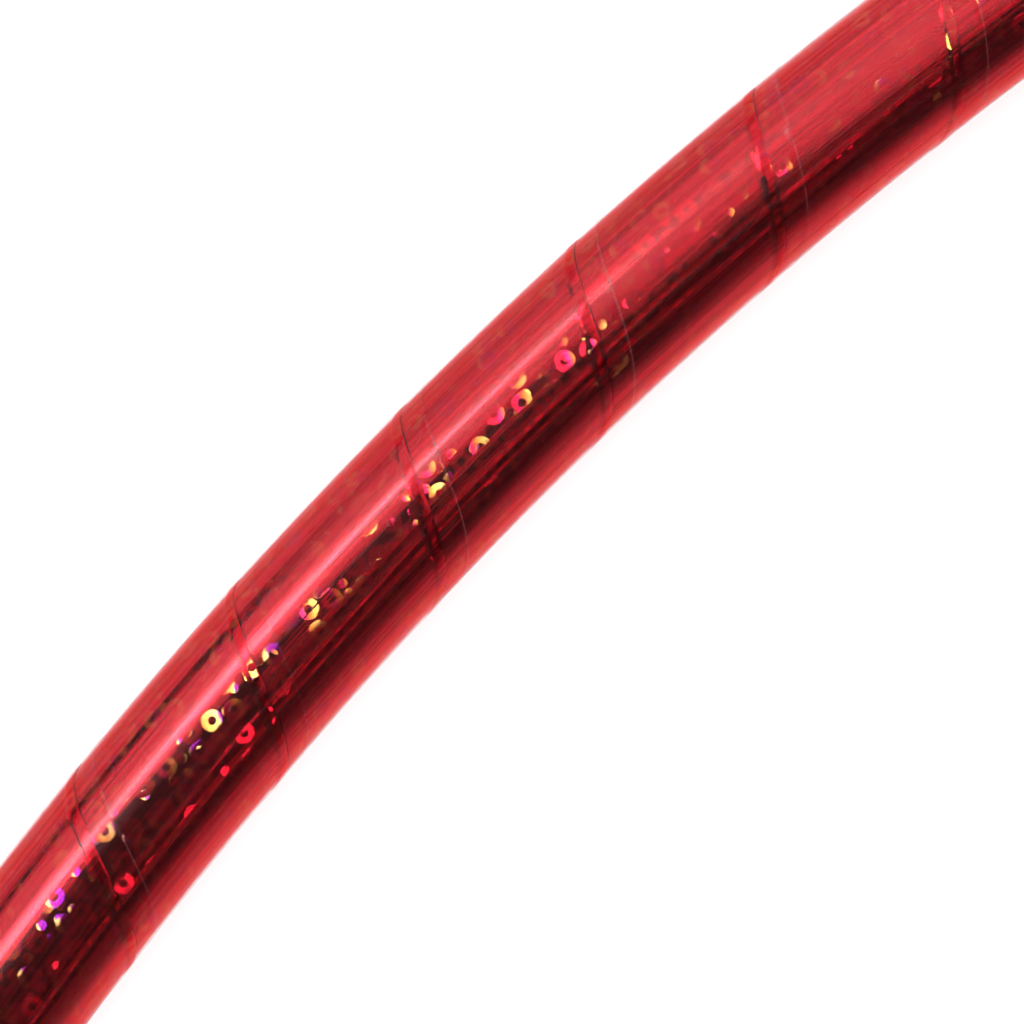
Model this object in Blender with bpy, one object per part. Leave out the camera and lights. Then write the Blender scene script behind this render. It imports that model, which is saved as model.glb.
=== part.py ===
"""Rhythmic gymnastics hoop: a plastic tube bent into a ring, its two ends joined
by a riveted plug, and wrapped in foil tape under a clear film.

The hoop lies flat. The origin is at the middle of the ring on the plane it rests
on, and +Z is the ring's axis. All lengths are in metres.
"""

import math

import bmesh
import bpy
from mathutils import Matrix, Vector

# ---- driving dimensions -------------------------------------------------------
INNER_DIAMETER = 0.900      # clear opening of the wrapped hoop
TUBE_RADIUS = 0.0071        # outer radius of the bare tube
TUBE_WALL = 0.0020
FOIL_THICKNESS = 0.0002
FILM_THICKNESS = 0.0002
WRAP_CLEARANCE = 0.00025    # between the tube and the foil, and the foil and the film

PLUG_LENGTH = 0.120         # along the ring, half of it in each end of the tube
PLUG_WALL = 0.0016
PLUG_CLEARANCE = 0.00025    # between the plug and the tube's bore
PLUG_LEAD = 0.004           # length of the taper at each end of the plug
PLUG_TAPER = 0.0006         # how much that taper takes off the plug's radius

RIVET_RADIUS = 0.0015
RIVET_HEAD_RADIUS = 0.0024
RIVET_HEAD_DEPTH = 0.0009   # of the countersunk head
RIVET_OFFSET = 0.028        # from the tube's joint, along the ring
RIVET_RECESS = 0.00015      # the head's rim lies this far under the tube's surface
RIVET_CLEARANCE = 0.0002    # between the rivet and its holes
RIVET_TIP = 0.0010          # how far the rivet reaches past the plug's wall

JOINT_AZIMUTH = math.radians(-45.0)
JOINT_GAP = 0.0003          # between the tube's two end faces
FOIL_LAP_OFFSET = 0.035     # where the foil's two ends meet, along the ring from the joint
FILM_LAP_OFFSET = -0.035    # where the film's two ends meet

RING_STEPS = 96             # straight facets round the ring
SECTION_SIDES = 12          # flat sides round the tube's section
RIVET_SIDES = 12
SHORTEST_FACET = 0.01       # as a share of a full facet; a shorter one joins its neighbour

# ---- sizes that follow --------------------------------------------------------
FOIL_INNER = TUBE_RADIUS + WRAP_CLEARANCE
FOIL_OUTER = FOIL_INNER + FOIL_THICKNESS
FILM_INNER = FOIL_OUTER + WRAP_CLEARANCE
FILM_OUTER = FILM_INNER + FILM_THICKNESS
RING_RADIUS = INNER_DIAMETER / 2 + FILM_OUTER
BORE_RADIUS = TUBE_RADIUS - TUBE_WALL
PLUG_RADIUS = BORE_RADIUS - PLUG_CLEARANCE
PLUG_BORE = PLUG_RADIUS - PLUG_WALL
RIVET_HEAD_END = math.sqrt(TUBE_RADIUS**2 - RIVET_HEAD_RADIUS**2) - RIVET_RECESS
STEP = 2 * math.pi / RING_STEPS

# name: (base colour, roughness, metallic, alpha)
MATERIALS = {
    "tube_plastic": ((0.86, 0.85, 0.82), 0.40, 0.0, 1.0),
    "plug_plastic": ((0.12, 0.12, 0.13), 0.50, 0.0, 1.0),
    "rivet_metal": ((0.80, 0.80, 0.82), 0.30, 1.0, 1.0),
    "red_foil": ((0.62, 0.03, 0.06), 0.18, 1.0, 1.0),
    "clear_film": ((0.95, 0.72, 0.74), 0.08, 0.0, 0.30),
}


def make_material(name):
    """A Principled material from its row in MATERIALS."""
    colour, roughness, metallic, alpha = MATERIALS[name]
    material = bpy.data.materials.new(name)
    material.use_nodes = True
    shader = material.node_tree.nodes["Principled BSDF"]
    shader.inputs["Base Color"].default_value = (*colour, 1.0)
    shader.inputs["Roughness"].default_value = roughness
    shader.inputs["Metallic"].default_value = metallic
    shader.inputs["Alpha"].default_value = alpha
    material.diffuse_color = (*colour, alpha)
    return material


def make_object(name, bm, material_name):
    """Turns a bmesh into a smooth-shaded object of that name."""
    bmesh.ops.recalc_face_normals(bm, faces=bm.faces)
    mesh = bpy.data.meshes.new(name)
    bm.to_mesh(mesh)
    bm.free()
    mesh.materials.append(make_material(material_name))
    mesh.shade_smooth()
    mesh.set_sharp_from_angle(angle=math.radians(40.0))
    obj = bpy.data.objects.new(name, mesh)
    bpy.context.scene.collection.objects.link(obj)
    return obj


def along_ring(distance):
    """The azimuth that lies this far from the tube's joint along the ring."""
    return JOINT_AZIMUTH + distance / RING_RADIUS


def facet_factor(azimuth):
    """How far in a facet lies here, as a share of its corners' radius.

    Every piece is a sweep round the same polygon, whose corners are counted
    from the joint, so nested pieces have parallel facets wherever they start.
    """
    past_corner = (azimuth - JOINT_AZIMUTH) % STEP
    return math.cos(STEP / 2) / math.cos(past_corner - STEP / 2)


def section_corners(radius):
    """Corners of the section, as (out from the ring's line, up) pairs.

    The section is a polygon round a circle of this radius, with flat sides
    at its top and bottom.
    """
    corner_radius = radius / math.cos(math.pi / SECTION_SIDES)
    angles = [(k + 0.5) * 2 * math.pi / SECTION_SIDES for k in range(SECTION_SIDES)]
    return [(corner_radius * math.cos(a), corner_radius * math.sin(a)) for a in angles]


def ring_point(azimuth, out, up):
    """A point beside the ring's line, with the hoop resting on z = 0."""
    reach = (RING_RADIUS + out) * facet_factor(azimuth)
    return Vector((reach * math.cos(azimuth), reach * math.sin(azimuth), FILM_OUTER + up))


def stations(start, end):
    """Azimuths of a sweep: its two ends and the polygon's corners between them."""
    first = math.floor((start - JOINT_AZIMUTH) / STEP) + 1
    last = math.ceil((end - JOINT_AZIMUTH) / STEP) - 1
    corners = [JOINT_AZIMUTH + k * STEP for k in range(first, last + 1)]
    nearest = SHORTEST_FACET * STEP
    inside = [a for a in corners if a - start > nearest and end - a > nearest]
    return [start, *inside, end]


def skin(bm, azimuths, radii):
    """Sweeps one wall of a tube, and returns its loops of corners."""
    sections = zip(azimuths, radii)
    loops = [[bm.verts.new(ring_point(a, *c)) for c in section_corners(r)] for a, r in sections]
    for here, there in zip(loops, loops[1:]):
        for k in range(SECTION_SIDES):
            j = (k + 1) % SECTION_SIDES
            bm.faces.new((here[k], here[j], there[j], there[k]))
    return loops


def bent_tube(name, start, end, outer, inner, material_name, lead=0.0, taper=0.0):
    """An open-ended tube that follows the ring from one azimuth to another.

    Its outside can taper at both ends, by `taper` over a length of `lead`.
    """
    bm = bmesh.new()
    azimuths = stations(start, end)
    radii = [outer] * len(azimuths)
    if taper:
        shoulder = lead / RING_RADIUS
        azimuths = [start, *stations(start + shoulder, end - shoulder), end]
        radii = [outer - taper, *[outer] * (len(azimuths) - 2), outer - taper]
    outside = skin(bm, azimuths, radii)
    inside = skin(bm, azimuths, [inner] * len(azimuths))
    for rim, bore in ((outside[0], inside[0]), (outside[-1], inside[-1])):
        for k in range(SECTION_SIDES):
            j = (k + 1) % SECTION_SIDES
            bm.faces.new((rim[k], rim[j], bore[j], bore[k]))
    return make_object(name, bm, material_name)


def full_turn(name, lap_offset, outer, inner, material_name):
    """A bent tube that goes all the way round and stops just short of itself."""
    half_gap = JOINT_GAP / 2
    start = along_ring(lap_offset + half_gap)
    end = along_ring(lap_offset - half_gap) + 2 * math.pi
    return bent_tube(name, start, end, outer, inner, material_name)


def rivet_profile(spread=0.0):
    """Radius and distance from the ring's line at each step of a countersunk rivet."""
    shank = RIVET_RADIUS + spread
    head = RIVET_HEAD_RADIUS + spread
    neck = RIVET_HEAD_END - RIVET_HEAD_DEPTH
    return [(head, RIVET_HEAD_END), (shank, neck), (shank, PLUG_BORE - RIVET_TIP)]


def turned_body(name, azimuth, profile, material_name):
    """A solid turned from its profile, across the tube on the side that faces the axis."""
    bm = bmesh.new()
    loops = []
    for radius, distance in profile:
        turns = [k * 2 * math.pi / RIVET_SIDES for k in range(RIVET_SIDES)]
        corners = [(radius * math.cos(t), radius * math.sin(t), -distance) for t in turns]
        loops.append([bm.verts.new(corner) for corner in corners])
    for here, there in zip(loops, loops[1:]):
        for k in range(RIVET_SIDES):
            j = (k + 1) % RIVET_SIDES
            bm.faces.new((here[k], here[j], there[j], there[k]))
    bm.faces.new(loops[0])
    bm.faces.new(loops[-1])
    solid = make_object(name, bm, material_name)
    turn = Matrix.Rotation(azimuth, 4, "Z") @ Matrix.Rotation(math.pi / 2, 4, "Y")
    reach = RING_RADIUS * facet_factor(azimuth)
    place = Vector((reach * math.cos(azimuth), reach * math.sin(azimuth), FILM_OUTER))
    solid.matrix_world = Matrix.Translation(place) @ turn
    return solid


def cut(target, cutter):
    """Cuts a hole with a helper that isn't a piece of the hoop."""
    cutter.hide_render = True
    cutter.display_type = "WIRE"
    boolean = target.modifiers.new(cutter.name, "BOOLEAN")
    boolean.operation = "DIFFERENCE"
    boolean.solver = "EXACT"
    boolean.object = cutter


def build_tube():
    return full_turn("hoop_tube", 0.0, TUBE_RADIUS, BORE_RADIUS, "tube_plastic")


def build_plug():
    start = along_ring(-PLUG_LENGTH / 2)
    end = along_ring(PLUG_LENGTH / 2)
    return bent_tube(
        "joint_plug",
        start,
        end,
        PLUG_RADIUS,
        PLUG_BORE,
        "plug_plastic",
        lead=PLUG_LEAD,
        taper=PLUG_TAPER,
    )


def build_rivets(tube, plug):
    """One rivet through each end of the tube, with its holes in tube and plug."""
    rivet = rivet_profile()
    hole = rivet_profile(spread=RIVET_CLEARANCE)
    mouth = (hole[0][0], TUBE_RADIUS + TUBE_WALL)
    for number, side in enumerate((-1, 1), start=1):
        azimuth = along_ring(side * RIVET_OFFSET)
        turned_body(f"joint_rivet_{number}", azimuth, rivet, "rivet_metal")
        cutter = turned_body(f"rivet_hole_{number}", azimuth, [mouth, *hole], "rivet_metal")
        cut(tube, cutter)
        cut(plug, cutter)


def build_wraps():
    full_turn("foil_tape", FOIL_LAP_OFFSET, FOIL_OUTER, FOIL_INNER, "red_foil")
    full_turn("clear_film", FILM_LAP_OFFSET, FILM_OUTER, FILM_INNER, "clear_film")


def main():
    for old in list(bpy.data.objects):
        bpy.data.objects.remove(old, do_unlink=True)
    tube = build_tube()
    plug = build_plug()
    build_rivets(tube, plug)
    build_wraps()


main()
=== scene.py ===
"""The looks of a rhythmic gymnastics hoop: a tube wound with holographic foil tape
and, over that, a clear film. Both tapes are long strips on a helix, so each is
built from its own pitch, lap and thickness, round the sizes that the frame gives.
"""

import math

import bpy
import numpy as np
from mathutils import Matrix, Vector, noise


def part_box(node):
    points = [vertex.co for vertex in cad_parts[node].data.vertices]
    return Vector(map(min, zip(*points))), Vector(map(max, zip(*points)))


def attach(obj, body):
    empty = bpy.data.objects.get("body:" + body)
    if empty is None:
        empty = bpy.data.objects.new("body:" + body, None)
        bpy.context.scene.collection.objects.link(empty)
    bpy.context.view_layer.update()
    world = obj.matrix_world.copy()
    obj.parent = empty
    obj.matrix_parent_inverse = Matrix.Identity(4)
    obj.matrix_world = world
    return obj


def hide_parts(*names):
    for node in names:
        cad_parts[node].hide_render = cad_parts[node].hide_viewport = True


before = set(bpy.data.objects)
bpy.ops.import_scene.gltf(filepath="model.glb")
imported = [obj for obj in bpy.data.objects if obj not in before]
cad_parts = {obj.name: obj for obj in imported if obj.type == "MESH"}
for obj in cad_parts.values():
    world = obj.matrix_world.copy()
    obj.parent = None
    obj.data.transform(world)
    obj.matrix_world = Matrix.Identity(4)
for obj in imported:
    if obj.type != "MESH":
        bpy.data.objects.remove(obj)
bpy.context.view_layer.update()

MM = 0.001
TURN = 2 * math.pi

# ---- sizes from the frame -----------------------------------------------------
low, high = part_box("clear_film")
SKIN = (high.z - low.z) / 2            # radius of the wrapped tube
RING = high.x - SKIN                   # radius of the ring's middle line
MIDDLE = (high.z + low.z) / 2          # height of that line above the floor

# ---- the two tapes ------------------------------------------------------------
TURNS = 125                            # turns of tape round the whole ring
LENGTHS = 4                            # the strips are made in this many lengths
PITCH = TURN * RING / TURNS
START = math.radians(-90.0)            # both tapes start under the tube
JOINT = math.radians(-45.0)            # and at the joint in the tube

FOIL = {
    "radius": SKIN - 0.31 * MM,        # its inner face
    "thickness": 0.08 * MM,
    "lap": 1.0 * MM,                   # how far a turn lies on the one before
    "ramp": 0.6 * MM,                  # the width in which it comes down beside that lap
    "raise": 0.10 * MM,                # how far the lap lifts it
    "curl": 0.03 * MM,                 # how far its near edge bends down
    "shift": 10.6 * MM,                # where its first turn starts along the ring
    "wobble": 0.10 * MM,               # how far its edges stray
    "rippled": True,
    "lift": 0.0,                       # how far its near edge comes loose in places
}
FILM = {
    "radius": SKIN - 0.17 * MM,
    "thickness": 0.04 * MM,
    "lap": 0.15 * MM,
    "ramp": 0.5 * MM,
    "raise": 0.06 * MM,
    "curl": 0.02 * MM,
    "shift": 7.6 * MM,
    "wobble": 0.08 * MM,
    "rippled": False,
    "lift": 0.03 * MM,
}
CURL_WIDTH = 0.25 * MM
LOOSE_WIDTH = 0.7 * MM
FILM_RISE_WIDTH = 0.5 * MM             # of the film, before a lap of the foil
FILM_FALL_WIDTH = FOIL["ramp"] + 0.4 * MM
FILM_RISE = FOIL["raise"] + 0.02 * MM

# Noise along a tape's edges: how fast it changes with the turn angle, and its seed.
NEAR_EDGE = (0.35, 1.0)
FAR_EDGE = (0.35, 7.0)
LOOSE_EDGE = (1.3, 11.0)

# Noise on the foil's face: how fast it changes round the tube and along it, and its seed.
BROAD = (3.3, 26.0, 3.0)
FINE = (8.0, 60.0, 9.0)
CREASE = (4.5, 20.0, 15.0)
BROAD_HEIGHT, FINE_HEIGHT, CREASE_DEPTH = 0.09, 0.022, 0.06  # mm
HIGHEST_RIPPLE = 0.055                 # mm, so that none comes through the film

# ---- the stretch that is seen close up -----------------------------------------
NEAR_AZIMUTH = math.radians(135.0)
NEAR_HALF = math.radians(14.0)
ROWS_NEAR = 120                        # rows of faces in one turn
ROWS_FAR = 40
BACK_COLUMNS = 4                       # faces across a tape's inner side

# Columns of points across its outer side: these, in mm from its near edge, and
# then so many more, evenly spaced.
EDGE_COLUMNS = (0, 0.08, 0.16, 0.25, 0.5, 0.8, 1.0, 1.15, 1.3, 1.45, 1.6, 2.0)
WIDE_COLUMNS = 9
SHARP_ABOVE = math.radians(50.0)       # between two faces, for their edge to look sharp


def smooth(t):
    """Eases from 0 to 1, and stays there outside that range."""
    t = np.clip(t, 0.0, 1.0)
    return t * t * (3 - 2 * t)


def turn_rows(tape, first, last):
    """Turn angles of a strip's rows, closer together in the stretch seen near."""
    rows = [first]
    while rows[-1] < last - 1e-9:
        azimuth = JOINT + (tape["shift"] + PITCH * rows[-1] / TURN) / RING
        away = abs((azimuth - NEAR_AZIMUTH + math.pi) % TURN - math.pi)
        count = ROWS_NEAR if away < NEAR_HALF else ROWS_FAR
        rows.append(min(rows[-1] + TURN / count, last))
    return np.array(rows)


def wander(values, kind):
    """Smooth noise from -1 to 1 along a strip."""
    scale, seed = kind
    return np.array([noise.noise((v * scale, seed, 0.5)) for v in values])


def lap_height(tape, x):
    """How far a turn stands off, x along the ring from its near edge, which curls down."""
    curl = tape["curl"] * (1 - smooth(x / CURL_WIDTH))
    return tape["raise"] * (1 - smooth((x - tape["lap"]) / tape["ramp"])) - curl


def under_film(x):
    """How far the foil's laps lift the film, x from the foil's near edge."""
    before = 2 * MM
    x = (x + before) % PITCH - before
    up = smooth((x + FILM_RISE_WIDTH) / FILM_RISE_WIDTH)
    down = 1 - smooth((x - FOIL["lap"]) / FILM_FALL_WIDTH)
    return FILM_RISE * up * down


def tape_sheet(tape, turn_angle, x, out):
    """Points of a tape: turn_angle and x are grids, out is how far off its inner face."""
    along = tape["shift"] + PITCH * turn_angle / TURN + x
    around = START + turn_angle
    radius = tape["radius"] + out + lap_height(tape, x)
    if tape is FILM:
        radius = radius + under_film(tape["shift"] + x - FOIL["shift"])
    azimuth = JOINT + along / RING
    reach = RING + radius * np.cos(around)
    return np.stack(
        [reach * np.cos(azimuth), reach * np.sin(azimuth), MIDDLE + radius * np.sin(around)],
        axis=-1,
    )


def wave(kind, turn_angle, along):
    """One kind of noise at a place on the foil, from -1 to 1."""
    scale_round, scale_along, seed = kind
    return noise.noise((scale_round * turn_angle, along * scale_along, seed))


def ripples(turn_angle, x):
    """Ripples and creases that run along the tube, from the pull on the tape, in metres."""
    heights = []
    for t, w in zip(turn_angle.ravel(), x.ravel()):
        along = PITCH * t / TURN + w
        swell = BROAD_HEIGHT * wave(BROAD, t, along) + FINE_HEIGHT * wave(FINE, t, along)
        height = swell - CREASE_DEPTH * abs(wave(CREASE, t, along))
        heights.append(min(height, HIGHEST_RIPPLE))
    return MM * np.array(heights).reshape(turn_angle.shape)


def strip_grids(tape, first, last):
    """Turn angles and places across the tape of a strip's outer side and its inner side."""
    rows = turn_rows(tape, first, last)
    width = PITCH + tape["lap"]
    edge = np.array(EDGE_COLUMNS) * MM / width
    outer_columns = np.concatenate([edge, np.linspace(edge[-1], 1, WIDE_COLUMNS + 1)[1:]])
    inner_columns = np.linspace(0, 1, BACK_COLUMNS + 1)
    near = tape["wobble"] * wander(rows, NEAR_EDGE)
    far = tape["wobble"] * wander(rows, FAR_EDGE)
    span = width + far - near
    grids = []
    for columns in (outer_columns, inner_columns):
        turn_angle = np.repeat(rows[:, None], len(columns), axis=1)
        x = near[:, None] + span[:, None] * columns[None, :]
        grids.append((turn_angle, x))
    return grids


def outer_side(tape, turn_angle, x):
    """How far a strip's outer side is off its inner side."""
    out = np.full(turn_angle.shape, tape["thickness"])
    if tape["rippled"]:
        out = out + ripples(turn_angle, x)
    if tape["lift"]:
        loose = np.clip(wander(turn_angle[:, 0], LOOSE_EDGE), 0, 1)[:, None]
        out = out + tape["lift"] * (loose * (1 - smooth(x / LOOSE_WIDTH)))
    return out


def grid_faces(rows, columns, first, flip):
    """Quads of a grid of points that are numbered row by row."""
    r, c = np.meshgrid(np.arange(rows - 1), np.arange(columns - 1), indexing="ij")
    a = first + r * columns + c
    quads = np.stack([a, a + 1, a + columns + 1, a + columns], axis=-1).reshape(-1, 4)
    return quads[:, ::-1] if flip else quads


def strip_faces(rows, a, b):
    """Faces of a closed strip that has a columns of points outside, and b inside."""
    base = rows * a
    i = np.arange(rows - 1)
    near_out, near_in = i * a, base + i * b
    far_out, far_in = near_out + a - 1, near_in + b - 1
    outer, inner = grid_faces(rows, a, 0, False), grid_faces(rows, b, base, True)
    near_wall = np.stack([near_out, near_out + a, near_in + b, near_in], axis=-1)
    far_wall = np.stack([far_out, far_in, far_in + b, far_out + a], axis=-1)
    quads = np.concatenate([outer, inner, near_wall, far_wall])
    last_out, last_in = (rows - 1) * a, base + (rows - 1) * b
    first_cap = [base + k for k in range(b)] + list(reversed(range(a)))
    last_cap = [last_out + k for k in range(a)] + [last_in + k for k in reversed(range(b))]
    return quads.tolist() + [first_cap, last_cap]


SLOPE = math.atan2(PITCH / TURN, SKIN)       # between the tape and a circle round the tube
PER_RADIAN = math.hypot(PITCH / TURN, SKIN)  # tape used in a radian of turn
MAP_ACROSS, MAP_UP = 4, 8                    # cells of the map that textures bake through
MARGIN_ACROSS, MARGIN_UP = 0.01, 0.04        # of a cell, left free at each side


def inset(share, margin):
    """Moves a share from 0 to 1 in from both ends by a margin."""
    return margin + (1 - 2 * margin) * share


def add_maps(mesh, turn_of, x_of, first, width):
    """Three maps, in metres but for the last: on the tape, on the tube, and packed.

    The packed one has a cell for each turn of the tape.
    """
    corner = np.zeros(len(mesh.loops), np.int32)
    mesh.loops.foreach_get("vertex_index", corner)
    totals = np.zeros(len(mesh.polygons), np.int32)
    mesh.polygons.foreach_get("loop_total", totals)
    starts = np.concatenate([[0], np.cumsum(totals)[:-1]])
    t, x = turn_of[corner], x_of[corner]
    face_t = np.add.reduceat(t, starts) / totals
    cell = np.floor((face_t - first) / TURN).repeat(totals)
    across = inset((t - first) / TURN - cell, MARGIN_ACROSS)
    up = inset(x / width, MARGIN_UP)
    tape = (t * PER_RADIAN + x * math.sin(SLOPE), x * math.cos(SLOPE))
    tube = (PITCH * t / TURN + x, t * SKIN)
    packed = ((cell % MAP_ACROSS + across) / MAP_ACROSS, (cell // MAP_ACROSS + up) / MAP_UP)
    for name, places in (("tape", tape), ("tube", tube), ("OFBake", packed)):
        layer = mesh.uv_layers.new(name=name, do_init=False)
        layer.uv.foreach_set("vector", np.stack(places, axis=1).astype(np.float32).ravel())


def link(name, data):
    """Puts a new object of that mesh, lamp or camera in the scene."""
    made = bpy.data.objects.new(name, data)
    bpy.context.scene.collection.objects.link(made)
    return made


def wound_length(name, tape, first, last, material):
    """One length of tape as a thin closed strip, from one turn angle to another."""
    (t_out, x_out), (t_in, x_in) = strip_grids(tape, first, last)
    outer = tape_sheet(tape, t_out, x_out, outer_side(tape, t_out, x_out))
    inner = tape_sheet(tape, t_in, x_in, 0.0)
    points = np.concatenate([outer.reshape(-1, 3), inner.reshape(-1, 3)])
    faces = strip_faces(len(t_out), t_out.shape[1], t_in.shape[1])
    mesh = bpy.data.meshes.new(name)
    mesh.from_pydata(points.tolist(), [], faces)
    turn_of = np.concatenate([t_out.ravel(), t_in.ravel()])
    x_of = np.concatenate([x_out.ravel(), x_in.ravel()])
    add_maps(mesh, turn_of, x_of, first, PITCH + tape["lap"])
    mesh.shade_smooth()
    mesh.set_sharp_from_angle(angle=SHARP_ABOVE)
    mesh.materials.append(material)
    return link(name, mesh)


# ---- materials ----------------------------------------------------------------
class Tree:
    """A short way to write a node material."""

    def __init__(self, name):
        self.material = bpy.data.materials.new(name)
        self.material.use_nodes = True
        self.nodes = self.material.node_tree.nodes
        self.links = self.material.node_tree.links
        self.nodes.clear()

    def put(self, socket, value):
        """Links a socket to another, or sets its value."""
        if isinstance(value, bpy.types.NodeSocket):
            self.links.new(value, socket)
        elif value is not None:
            socket.default_value = value

    def node(self, kind, settings=None, **inputs):
        made = self.nodes.new(kind)
        for key, value in (settings or {}).items():
            setattr(made, key, value)
        for key, value in inputs.items():
            self.put(made.inputs[key.replace("_", " ")], value)
        return made

    def math(self, operation, a, b=None, c=None, clamp=False):
        made = self.nodes.new("ShaderNodeMath")
        made.operation = operation
        made.use_clamp = clamp
        for socket, value in zip(made.inputs, (a, b, c)):
            self.put(socket, value)
        return made.outputs[0]

    def vector(self, operation, a, b=None, scale=None):
        """A vector from one or two others, or a number where the operation gives one."""
        made = self.nodes.new("ShaderNodeVectorMath")
        made.operation = operation
        self.put(made.inputs[0], a)
        self.put(made.inputs[1], b)
        if operation == "SCALE":
            self.put(made.inputs["Scale"], scale)
        return made.outputs["Value" if operation == "LENGTH" else "Vector"]

    def mix(self, factor, a, b):
        made = self.nodes.new("ShaderNodeMix")
        made.data_type = "RGBA"
        self.put(made.inputs["Factor"], factor)
        self.put(made.inputs["A"], a)
        self.put(made.inputs["B"], b)
        return made.outputs["Result"]

    def mix_shaders(self, factor, a, b):
        made = self.node("ShaderNodeMixShader", Fac=factor)
        self.links.new(a, made.inputs[1])
        self.links.new(b, made.inputs[2])
        return made.outputs[0]

    def ramp(self, factor, stops):
        made = self.nodes.new("ShaderNodeValToRGB")
        elements = made.color_ramp.elements
        while len(elements) < len(stops):
            elements.new(1.0)
        for element, (place, colour) in zip(elements, stops):
            element.position = place
            element.color = colour
        self.put(made.inputs["Fac"], factor)
        return made.outputs["Color"]

    def span(self, value, start, end, interpolation="LINEAR"):
        """0 at one value and 1 at another."""
        settings = {"interpolation_type": interpolation}
        made = self.node(
            "ShaderNodeMapRange", settings, Value=value, From_Min=start, From_Max=end
        )
        return made.outputs["Result"]

    def noise(self, place, dimensions="3D", **inputs):
        settings = {"noise_dimensions": dimensions}
        return self.node("ShaderNodeTexNoise", settings, Vector=place, **inputs).outputs["Fac"]

    def bump(self, height, distance, strength):
        made = self.node("ShaderNodeBump", Strength=strength, Distance=distance, Height=height)
        return made.outputs["Normal"]

    def uv(self, name):
        return self.node("ShaderNodeUVMap", {"uv_map": name}).outputs["UV"]

    def object_place(self):
        return self.node("ShaderNodeTexCoord").outputs["Object"]

    def parts(self, vector):
        return self.node("ShaderNodeSeparateXYZ", Vector=vector).outputs

    def finish(self, surface):
        out = self.nodes.new("ShaderNodeOutputMaterial")
        self.links.new(surface, out.inputs["Surface"])
        return self.material


def band(tree, value, inner, outer, soft):
    """1 between two distances, falling to 0 over soft at each."""
    rise = tree.span(value, inner - soft, inner + soft, "SMOOTHSTEP")
    fall = tree.span(value, outer + soft, outer - soft, "SMOOTHSTEP")
    return tree.math("MULTIPLY", rise, fall)


# The size of a cell with one spot in it, the spot's inner and outer radius, and
# how unevenly they are spread. A disc has no hole, so its inner radius is below 0.
RINGS = (2.7 * MM, 0.42 * MM, 1.05 * MM, 0.45)
DISCS = (1.7 * MM, -MM, 0.5 * MM, 0.75)
DISC_SHIFT = (0.0131, 0.0077, 0)       # so that rings and discs don't share their cells
SPOT_SOFT = 0.04 * MM

LIT_SHARE = 0.62                       # share of the spots that send back a colour
SPARK = 0.08                           # how much of such a spot's light is that colour
SPARK_ROUGH = 0.12
ALONG_LEAN = 26.0                      # how far its mirror leans along the tube, in degrees
FIRST_LEAN, SECOND_LEAN = 14.0, 41.0   # and back round it, for its two glints
AGAIN_ABOVE, AGAIN = 0.75, 0.5         # the chance above which it has both, and the second's share
LEAN_JITTER, ASIDE_JITTER = 0.24, 0.06  # spread of those leans, as slopes
HUE_DRIFT = 0.28                       # how far the colour changes from a spot's middle to its rim
HUES = (
    (0.00, (0.14, 0.01, 0.28, 1)),
    (0.22, (0.28, 0.02, 0.28, 1)),
    (0.30, (1.00, 0.62, 0.20, 1)),
    (0.60, (1.00, 0.42, 0.08, 1)),
    (0.74, (0.80, 0.12, 0.02, 1)),
    (0.84, (0.65, 0.02, 0.14, 1)),
    (1.00, (0.60, 0.01, 0.03, 1)),
)                                      # the colours of the first glint
SECOND_HUE = (0.8, 0.01, 0.03, 1)

RED = (0.66, 0.009, 0.024, 1)
DEEP_RED = (0.44, 0.003, 0.008, 1)     # in the streaks
SHADE_RED = (0.10, 0.0, 0.002, 1)      # painted shade: the shadow beside a lap
EDGE_RED = (1.0, 0.3, 0.3, 1)
FOIL_ROUGH, SPOT_ROUGH = 0.09, 0.11    # of the metal, and how much more in a spot
STREAKS = (16.0, 2300.0, 0)            # in a metre, along the tube and round it
STREAK_DEPTH = 0.018 * MM
STREAK_RANGE = (0.32, 0.64)            # of the noise, from the deep red to the red
LAP_SHADE = 0.14 * MM                  # the width of the painted shade line beside a lap
LAP_SHADE_SOFT = 0.08 * MM
# noise that breaks up the painted shade beside a lap
SHADE_BREAK_SCALE = 160.0
SHADE_BREAK_GAIN, SHADE_BREAK_BASE = 2.4, -0.8       # from noise to how dark the painted shade line is there


def spots(tree, place, kind):
    """Rings or discs scattered on the tape.

    Gives their mask, each one's random colour, and the place inside it.
    """
    size, inner, outer, randomness = kind
    cells = tree.node(
        "ShaderNodeTexVoronoi",
        {"voronoi_dimensions": "2D", "feature": "F1"},
        Vector=place,
        Scale=1.0 / size,
        Randomness=randomness,
    )
    distance = tree.math("MULTIPLY", cells.outputs["Distance"], size)
    mask = band(tree, distance, inner, outer, SPOT_SOFT)
    offset = tree.vector("SUBTRACT", place, cells.outputs["Position"])
    offset = tree.vector("SCALE", offset, scale=1.0 / outer)
    return mask, cells.outputs["Color"], offset


def all_spots(tree, place):
    """The rings, and the discs where there is no ring, as spots gives them."""
    ring, ring_random, ring_offset = spots(tree, place, RINGS)
    moved = tree.vector("ADD", place, DISC_SHIFT)
    disc, disc_random, disc_offset = spots(tree, moved, DISCS)
    disc = tree.math("MULTIPLY", disc, tree.math("SUBTRACT", 1.0, ring))
    mask = tree.math("MAXIMUM", ring, disc)
    random = tree.mix(disc, ring_random, disc_random)
    offset = tree.mix(disc, ring_offset, disc_offset)
    return mask, random, offset


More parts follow.
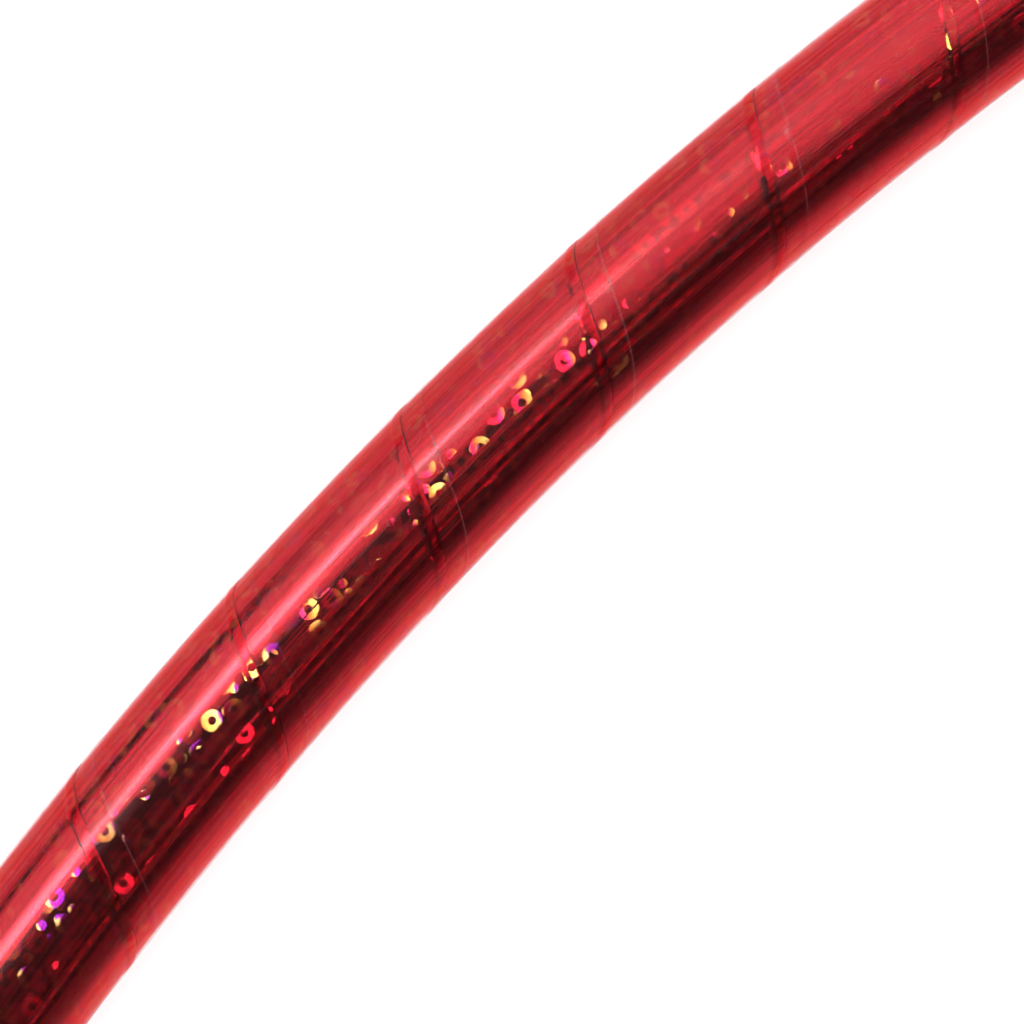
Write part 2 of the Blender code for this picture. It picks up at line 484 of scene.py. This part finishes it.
def leaning_normal(tree, lean, jitter):
    """A normal that leans back round the tube by lean and along it, with jitter on top."""
    back, aside = math.tan(math.radians(lean)), math.tan(math.radians(ALONG_LEAN))
    across, along = math.cos(SLOPE), math.sin(SLOPE)
    flat = (aside * along - back * across, aside * across + back * along, 1.0)
    normal = tree.vector("NORMALIZE", tree.vector("ADD", jitter, flat))
    coded = tree.vector("ADD", tree.vector("SCALE", normal, scale=0.5), (0.5, 0.5, 0.5))
    return tree.node("ShaderNodeNormalMap", {"uv_map": "tape"}, Color=coded).outputs["Normal"]


def glint(tree, colour, lean, jitter):
    """A small coloured mirror that leans back round the tube."""
    shader = tree.node(
        "ShaderNodeBsdfPrincipled",
        Base_Color=colour,
        Metallic=1.0,
        Roughness=SPARK_ROUGH,
        Normal=leaning_normal(tree, lean, jitter),
    )
    return shader.outputs[0]


def sparks(tree, random, chance, offset):
    """What a lit spot sends back: a first glint and, in some, a second one.

    random is the spot's random colour, chance its three parts, and offset the
    place inside the spot.
    """
    hue = tree.math("MULTIPLY_ADD", tree.parts(offset)["Y"], HUE_DRIFT, chance["Y"])
    centred = tree.vector("SUBTRACT", random, (0.5, 0.5, 0.5))
    jitter = tree.vector("MULTIPLY", centred, (0, LEAN_JITTER, 0))
    aside = tree.math("MULTIPLY_ADD", chance["Z"], ASIDE_JITTER, -ASIDE_JITTER / 2)
    jitter = tree.vector("ADD", jitter, tree.node("ShaderNodeCombineXYZ", X=aside).outputs[0])
    first = glint(tree, tree.ramp(hue, HUES), FIRST_LEAN, jitter)
    second = glint(tree, SECOND_HUE, SECOND_LEAN, jitter)
    again = tree.math("MULTIPLY", tree.math("GREATER_THAN", chance["Z"], AGAIN_ABOVE), AGAIN)
    return tree.mix_shaders(again, first, second)


def lap_shade(tree, place):
    """Painted shade: a dark line on a turn where the next one's edge is, for the shadow at that
    step, broken up by noise in places.
    """
    across = tree.parts(place)["Y"]
    edge = PITCH * math.cos(SLOPE)
    line = band(tree, across, edge - LAP_SHADE, edge + MM, LAP_SHADE_SOFT)
    shade_breaks = tree.noise(place, "2D", Scale=SHADE_BREAK_SCALE, Detail=1.0)
    left = tree.math("MULTIPLY_ADD", shade_breaks, SHADE_BREAK_GAIN, SHADE_BREAK_BASE, clamp=True)
    return tree.math("MULTIPLY", line, left)


def metal_film(tree, place, mask):
    """The red metal of the foil, with streaks along the tube, duller in the spots, and painted shade
    beside each lap.
    """
    stretched = tree.vector("MULTIPLY", tree.uv("tube"), STREAKS)
    streaks = tree.noise(stretched, "2D", Scale=1.0, Detail=3.0, Roughness=0.6)
    red = tree.mix(tree.span(streaks, *STREAK_RANGE), DEEP_RED, RED)
    shader = tree.node(
        "ShaderNodeBsdfPrincipled",
        # the base colour carries the painted shade beside each lap
        Base_Color=tree.mix(lap_shade(tree, place), red, SHADE_RED),
        Metallic=1.0,
        Roughness=tree.math("MULTIPLY_ADD", mask, SPOT_ROUGH, FOIL_ROUGH),
        Specular_Tint=EDGE_RED,
        Normal=tree.bump(streaks, STREAK_DEPTH, 1.0),
    )
    return shader.outputs[0]


def foil_material():
    tree = Tree("red_hologram_foil")
    place = tree.uv("tape")
    mask, random, offset = all_spots(tree, place)
    chance = tree.parts(random)
    lit = tree.math("LESS_THAN", chance["X"], LIT_SHARE)
    share = tree.math("MULTIPLY", tree.math("MULTIPLY", mask, lit), SPARK)
    metal = metal_film(tree, place, mask)
    return tree.finish(tree.mix_shaders(share, metal, sparks(tree, random, chance, offset)))


CLEAR = (1, 0.99, 0.99, 1)
CLEAR_AT_SLANT = (0.72, 0.64, 0.68, 1)
# The cut edge scatters for real, but its red is a painted reflection of the red foil.
PAINTED_EDGE_RED = (1.0, 0.25, 0.27, 1)
CUT_WIDTH, CUT_SOFT = 0.06 * MM, 0.03 * MM
CUT_SHARE = 0.06                       # how much of the cut edge is the painted red line
MIRROR, MIRROR_AT_SLANT = 0.017, 0.15  # share of the light that a face sends back, and how much more
MIRROR_FALL, TINT_FALL = 5.0, 12.0     # the higher, the closer to the outline it stays
FILM_ROUGH = 0.24


def film_material():
    """Clear film. Both its faces mirror a little, more so at a slant, and its cut edge has a painted
    red line, for the red foil's light caught in that edge.
    """
    tree = Tree("clear_film_gloss")
    across = tree.parts(tree.uv("tape"))["Y"]
    slant = tree.node("ShaderNodeLayerWeight", Blend=0.5).outputs["Facing"]
    steep = tree.math("POWER", slant, MIRROR_FALL)
    mirror = tree.math("MULTIPLY_ADD", steep, MIRROR_AT_SLANT, MIRROR)
    tint = tree.mix(tree.math("POWER", slant, TINT_FALL), CLEAR, CLEAR_AT_SLANT)
    clear = tree.node("ShaderNodeBsdfTransparent", Color=tint).outputs[0]
    gloss = tree.node("ShaderNodeBsdfGlossy", Color=(1, 1, 1, 1), Roughness=FILM_ROUGH).outputs[0]
    sheet = tree.mix_shaders(mirror, clear, gloss)
    # the cut edge: a pale red line painted in, as the red foil's light caught in it
    cut = tree.math("MULTIPLY", band(tree, across, -MM, CUT_WIDTH, CUT_SOFT), CUT_SHARE)
    rim = tree.node("ShaderNodeBsdfPrincipled", Base_Color=PAINTED_EDGE_RED, Roughness=0.3).outputs[0]
    return tree.finish(tree.mix_shaders(cut, sheet, rim))


def plastic_material(name, colour, rough):
    """Extruded or moulded plastic, with faint clouds and specks."""
    tree = Tree(name)
    place = tree.object_place()
    speck = tree.noise(place, Scale=900.0, Detail=3.0)
    cloud = tree.noise(place, Scale=35.0, Detail=4.0)
    darker = (*(0.82 * c for c in colour[:3]), 1)
    shader = tree.node(
        "ShaderNodeBsdfPrincipled",
        Base_Color=tree.mix(cloud, colour, darker),
        Roughness=tree.math("MULTIPLY_ADD", speck, 0.2, rough - 0.1),
        Normal=tree.bump(speck, 0.00002, 0.4),
    )
    return tree.finish(shader.outputs[0])


def rivet_material():
    """Aluminium with fine scuffs."""
    tree = Tree("rivet_aluminium")
    scuff = tree.noise(tree.object_place(), Scale=2500.0, Detail=4.0)
    shader = tree.node(
        "ShaderNodeBsdfPrincipled",
        Base_Color=tree.mix(scuff, (0.75, 0.75, 0.77, 1), (0.9, 0.9, 0.92, 1)),
        Metallic=1.0,
        Roughness=tree.math("MULTIPLY_ADD", scuff, 0.25, 0.2),
        Normal=tree.bump(scuff, 0.00001, 0.5),
    )
    return tree.finish(shader.outputs[0])


# ---- the object ---------------------------------------------------------------
def wind(kind, tape, node, material):
    """Winds a tape round the whole ring, as a few lengths end to end."""
    each = TURN * TURNS / LENGTHS
    for number in range(LENGTHS):
        name = f"{kind}_length_{number + 1}"
        piece = wound_length(name, tape, number * each, (number + 1) * each, material)
        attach(piece, "root")
        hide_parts(node)


def dress(node, material):
    """Gives a CAD node that stays a better material."""
    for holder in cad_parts[node].material_slots:
        holder.material = material


wind("foil_tape", FOIL, "foil_tape", foil_material())
wind("clear_film", FILM, "clear_film", film_material())
dress("hoop_tube", plastic_material("tube_extruded_plastic", (0.86, 0.85, 0.82, 1), 0.4))
dress("joint_plug", plastic_material("plug_moulded_plastic", (0.12, 0.12, 0.13, 1), 0.5))
metal = rivet_material()
dress("joint_rivet_1", metal)
dress("joint_rivet_2", metal)


# ---- the studio ---------------------------------------------------------------
OUT = Vector((math.cos(NEAR_AZIMUTH), math.sin(NEAR_AZIMUTH), 0))
ALONG = Vector((-math.sin(NEAR_AZIMUTH), math.cos(NEAR_AZIMUTH), 0))
UP = Vector((0, 0, 1))
NEAR_POINT = RING * OUT + MIDDLE * UP

FLOOR_HALF = 60.0
CARD_HEIGHT = 0.1 * MM
CARD_SIDES = 96
CARD_RADII = (0.05, RING - 9 * MM, RING + 9 * MM, 3.0)  # a disc, with a slot under the tube
# The card's tones paint the floor's shade as the tube mirrors it.
CARD_SHADE_TONES = (
    (-150.0, 0.25),
    (-120.0, 0.28),
    (-67.0, 0.38),
    (-33.0, 0.58),
    (-20.0, 0.80),
    (-12.0, 0.92),
    (12.0, 0.88),
    (25.0, 0.72),
    (150.0, 0.68),
)                                      # mm outward from the ring's line, and how pale the card is there: painted shade of the floor

DIM = (0.055, 0.055, 0.055, 1)         # the room, apart from its soft boxes
WASH_SPREAD = math.radians(60.0)
WHITE = (1.0, 1.0, 1.0)
FAINT = (1.0, 0.80, 0.80)              # light that has been off the red tube before
PANEL_DISTANCE = 1.8

# Each soft box's name, lean, turn, radiance and colour, as add_panel takes them.
PANELS = (
    ("key_softbox", (8, 72), (-50, 0.5), 1.0, WHITE),
    ("key_softbox_end", (19, 72), (0.5, 26), 1.0, WHITE),
    ("side_box", (72, 84), (-50, -0.5), 0.78, WHITE),
    ("low_box", (84, 89), (-50, 26), 0.75, WHITE),
    ("key_core", (20, 46), (-12, 22), 0.25, WHITE),
    ("key_lamp", (28, 39), (-10, 22), 1.2, WHITE),
    ("key_hot_lamp", (33, 36), (-10, 22), 22.0, WHITE),
    ("spark_lamp", (27, 53), (40, 51), 38.0, WHITE),
    ("top_box", (-12, 8), (-50, -9), 0.95, WHITE),
    ("top_box_end", (-25, -12), (-50, -11), 0.8, WHITE),
    ("inner_low_box", (-90, -74), (-14, 26), 0.12, WHITE),
    ("top_strip", (-17, -13), (-9, -2.5), 0.9, FAINT),
    ("back_strip", (-38, -34), (-13, -2.5), 1.1, FAINT),
    ("low_strip", (-60, -56), (-9, -2), 0.8, FAINT),
)

# The camera's place, as leans from straight above and what it looks at.
LEAN_IN = math.radians(5.0)
LEAN_ALONG = math.radians(6.34)
CAMERA_DISTANCE = 0.400
AIM = NEAR_POINT - 6.9 * MM * OUT + 5.2 * MM * ALONG
FOCAL_LENGTH = 145.3                   # mm, on a sensor that is 36 mm wide
SENSOR_WIDTH = 36.0


def stage_mesh(name, corners, faces, material):
    """A mesh that belongs to the studio."""
    mesh = bpy.data.meshes.new(name)
    mesh.from_pydata(corners, [], faces)
    mesh.materials.append(material)
    return link(name, mesh)


def add_floor():
    tree = Tree("pale_floor")
    cloud = tree.noise(tree.object_place(), Scale=3.0, Detail=2.0)
    shader = tree.node(
        "ShaderNodeBsdfPrincipled",
        Base_Color=tree.mix(cloud, (0.90, 0.90, 0.90, 1), (0.93, 0.93, 0.93, 1)),
        Roughness=0.7,
    )
    half = FLOOR_HALF
    corners = [(-half, -half, 0), (half, -half, 0), (half, half, 0), (-half, half, 0)]
    floor = stage_mesh("floor", corners, [(0, 1, 2, 3)], tree.finish(shader.outputs[0]))


def floor_shade_material():
    """Painted shade of the floor: paler or darker by the distance from the ring's line."""
    tree = Tree("floor_shade_card")
    first, last = CARD_SHADE_TONES[0][0], CARD_SHADE_TONES[-1][0]
    radius = tree.vector("LENGTH", tree.object_place())
    outward = tree.span(radius, RING + first * MM, RING + last * MM)
    stops = [((mm - first) / (last - first), (tone, tone, tone, 1)) for mm, tone in CARD_SHADE_TONES]
    tone = tree.ramp(outward, stops)
    shader = tree.node("ShaderNodeBsdfPrincipled", Base_Color=tone, Roughness=0.9)
    return tree.finish(shader.outputs[0])


def add_card():
    """A card on the floor that only the tube's reflections show, with painted shade: darker away
    from the tube.
    """
    turns = [TURN * k / CARD_SIDES for k in range(CARD_SIDES)]
    corners = [(r * math.cos(a), r * math.sin(a), CARD_HEIGHT) for r in CARD_RADII for a in turns]
    faces = []
    for loop in (0, 2):
        for k in range(CARD_SIDES):
            a = loop * CARD_SIDES + k
            b = loop * CARD_SIDES + (k + 1) % CARD_SIDES
            faces.append((a, a + CARD_SIDES, b + CARD_SIDES, b))
    card = stage_mesh("floor_shade_card", corners, faces, floor_shade_material())
    card.visible_camera = False
    card.visible_diffuse = False
    card.visible_shadow = False


def placement(right, upward, away, place):
    """Where a lamp or camera is, with its back to the direction called away."""
    turn = Matrix((right, upward, away)).transposed().to_4x4()
    return Matrix.Translation(place) @ turn


def panel_side(ends):
    """The length of a panel that is seen between two angles."""
    return 2 * PANEL_DISTANCE * math.tan(math.radians(abs(ends[1] - ends[0]) / 2))


def add_panel(name, lean, turn, radiance, colour):
    """A soft box that is seen only as a reflection in the tube.

    lean is its two edges' angles from straight up, across the near stretch of
    tube, and turn is its two ends' angles along it, all in degrees.
    """
    middle_lean = math.radians(sum(lean) / 2)
    middle_turn = math.radians(sum(turn) / 2)
    data = bpy.data.lights.new(name, "AREA")
    data.shape = "RECTANGLE"
    data.size = panel_side(turn)
    data.size_y = panel_side(lean)
    data.energy = radiance * math.pi * data.size * data.size_y
    data.color = colour
    away = math.sin(middle_lean) * OUT + math.cos(middle_lean) * UP
    away = math.cos(middle_turn) * away + math.sin(middle_turn) * ALONG
    across = ALONG - ALONG.dot(away) * away
    across.normalize()
    lamp = link(name, data)
    lamp.visible_diffuse = False
    place = NEAR_POINT + PANEL_DISTANCE * away
    lamp.matrix_world = placement(across, away.cross(across), away, place)


def add_wash(name, strength, shadow):
    """Soft light from straight above, for the floor alone."""
    data = bpy.data.lights.new(name, "SUN")
    data.energy = strength
    data.angle = WASH_SPREAD
    data.use_shadow = shadow
    lamp = link(name, data)
    lamp.visible_glossy = False


def add_world():
    """A dim room, which the camera sees as white."""
    world = bpy.data.worlds.new("studio")
    world.use_nodes = True
    nodes, links = world.node_tree.nodes, world.node_tree.links
    room = nodes["Background"]
    room.inputs["Color"].default_value = DIM
    backdrop = nodes.new("ShaderNodeBackground")
    backdrop.inputs["Color"].default_value = (1, 1, 1, 1)
    path = nodes.new("ShaderNodeLightPath")
    mix = nodes.new("ShaderNodeMixShader")
    links.new(path.outputs["Is Camera Ray"], mix.inputs["Fac"])
    links.new(room.outputs[0], mix.inputs[1])
    links.new(backdrop.outputs[0], mix.inputs[2])
    links.new(mix.outputs[0], nodes["World Output"].inputs["Surface"])
    bpy.context.scene.world = world


def add_camera():
    away = UP - math.tan(LEAN_IN) * OUT + math.tan(LEAN_ALONG) * ALONG
    away.normalize()
    right = (-away).cross(Vector((0, 1, 0))).normalized()
    data = bpy.data.cameras.new("camera")
    data.sensor_width = SENSOR_WIDTH
    data.lens = FOCAL_LENGTH
    data.clip_start = 0.01
    data.clip_end = 100.0
    camera = link("camera", data)
    place = AIM + CAMERA_DISTANCE * away
    camera.matrix_world = placement(right, right.cross(-away), away, place)
    bpy.context.scene.camera = camera


add_floor()
add_card()
for panel in PANELS:
    add_panel(*panel)
add_wash("floor_wash", 3.1, False)
add_wash("floor_shade", 0.8, True)
add_world()
add_camera()
bpy.context.scene.view_settings.view_transform = "Standard"
